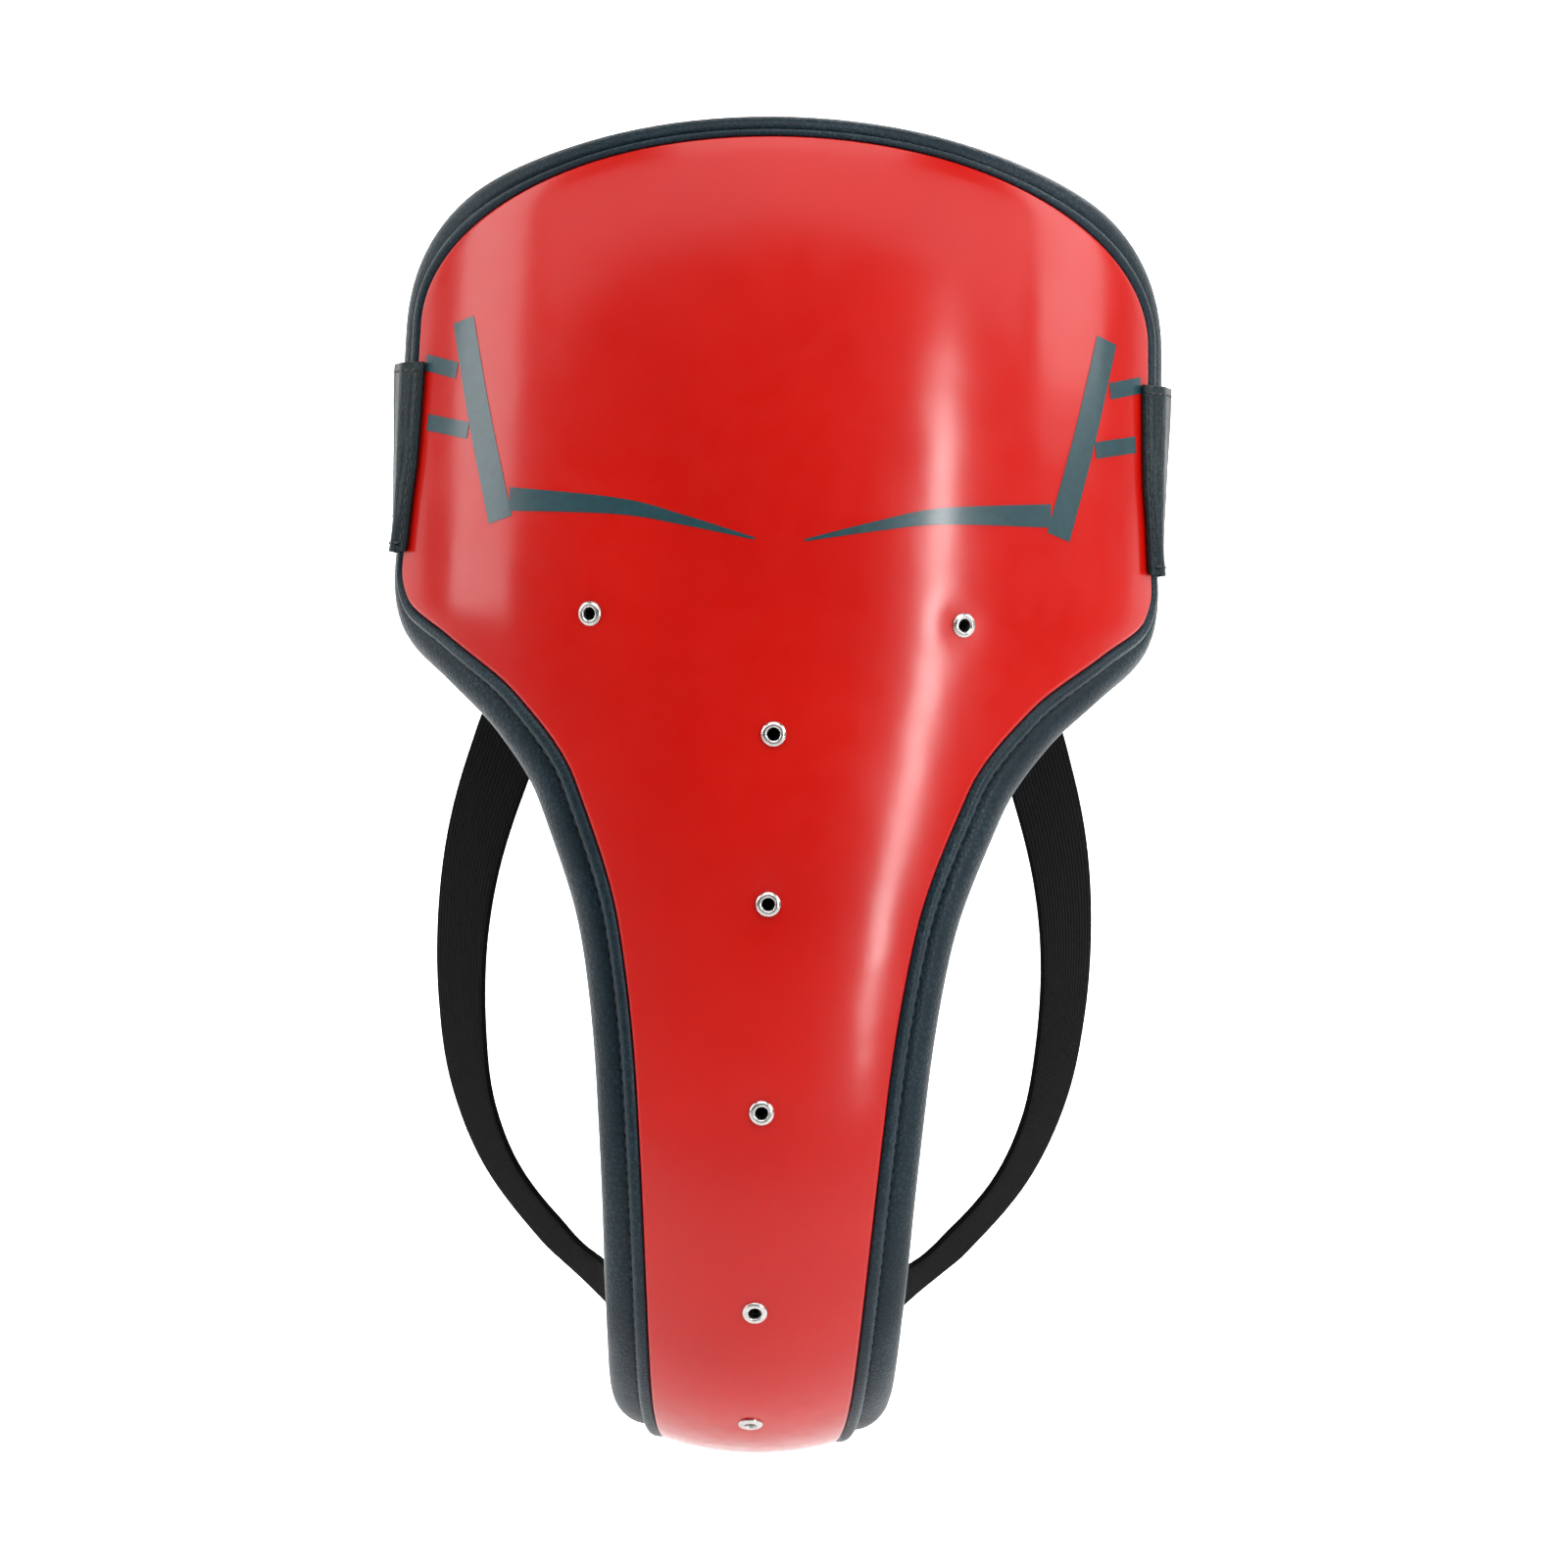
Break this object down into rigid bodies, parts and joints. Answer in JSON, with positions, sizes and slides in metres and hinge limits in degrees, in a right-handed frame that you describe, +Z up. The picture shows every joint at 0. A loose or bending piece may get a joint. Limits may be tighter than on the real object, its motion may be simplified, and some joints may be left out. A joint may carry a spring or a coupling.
{
  "type": "groin protector",
  "caption": "Rigid padded groin guard with a wide belly shield, a tapering shaft curled under at the tip, a hook-and-loop waist belt and elastic leg straps.",
  "frame": {"origin": "centre of the wearer's waist, at mid height of the waist belt and in the guard's plane of symmetry", "axes": "+Z up along the wearer, -Y the way the wearer faces, +X to the right as seen from the front"},
  "size_m": [0.208, 0.2183, 0.3566],
  "materials": {
    "cover_leather": "glossy, finely grained, slightly worn",
    "rigid_plate": "moulded, matt",
    "foam": "closed-cell foam",
    "pad_leather": "satin, grained",
    "binding_tape": "satin, folded tape",
    "rivet_steel": "nickel plated",
    "belt_elastic": "ribbed elastic",
    "strap_elastic": "woven elastic",
    "hook_and_loop": "hook and loop pile"
  },
  "bodies": {
    "guard": {"cover": "cover_leather", "rigid_plate": "rigid_plate", "foam_pad": "foam", "pad_cover": "pad_leather", "edge_binding": "binding_tape", "rivet_1": "rivet_steel", "rivet_2": "rivet_steel", "rivet_3": "rivet_steel", "rivet_4": "rivet_steel", "rivet_5": "rivet_steel", "rivet_6": "rivet_steel", "rivet_7": "rivet_steel", "rivet_washer_1": "rivet_steel", "rivet_washer_2": "rivet_steel", "rivet_washer_3": "rivet_steel", "rivet_washer_4": "rivet_steel", "rivet_washer_5": "rivet_steel", "rivet_washer_6": "rivet_steel", "rivet_washer_7": "rivet_steel", "side_tab_left": "binding_tape", "side_tab_right": "binding_tape", "strap_patch_upper_left": "strap_elastic", "strap_patch_upper_right": "strap_elastic", "strap_patch_lower_left": "strap_elastic", "strap_patch_lower_right": "strap_elastic"},
    "waist_belt_left": {"belt_left": "belt_elastic"},
    "waist_belt_right": {"belt_right": "belt_elastic", "loop_tape": "hook_and_loop"},
    "closure": {"closure_tab": "pad_leather", "hook_tape": "hook_and_loop"},
    "leg_strap_left": {"leg_strap_left": "strap_elastic"},
    "leg_strap_right": {"leg_strap_right": "strap_elastic"}
  },
  "joints": [
    {"name": "belt_left_swing", "type": "hinge", "parent": "guard", "child": "waist_belt_left", "pos_m": [-0.1022, -0.036, 0], "axis": [0, 0, 1], "range_deg": [0, 60]},
    {"name": "belt_right_swing", "type": "hinge", "parent": "guard", "child": "waist_belt_right", "pos_m": [0.1022, -0.036, 0], "axis": [0, 0, 1], "range_deg": [-60, 0]},
    {"name": "closure_peel", "type": "hinge", "parent": "waist_belt_left", "child": "closure", "pos_m": [-0.01034, 0.11097, 0], "axis": [0, 0, 1], "range_deg": [0, 90]},
    {"name": "leg_strap_left_swing", "type": "hinge", "parent": "guard", "child": "leg_strap_left", "pos_m": [-0.04791, -0.06908, -0.04409], "axis": [0.143, 0.2869, -0.9472], "range_deg": [-5, 25], "stiffness_Nm_per_rad": 0.06},
    {"name": "leg_strap_right_swing", "type": "hinge", "parent": "guard", "child": "leg_strap_right", "pos_m": [0.04791, -0.06908, -0.04409], "axis": [0.143, -0.2869, 0.9472], "range_deg": [-5, 25], "stiffness_Nm_per_rad": 0.06}
  ],
  "couplings": [
    {"joint": "belt_right_swing", "follows": "belt_left_swing", "ratio": -1}
  ]
}
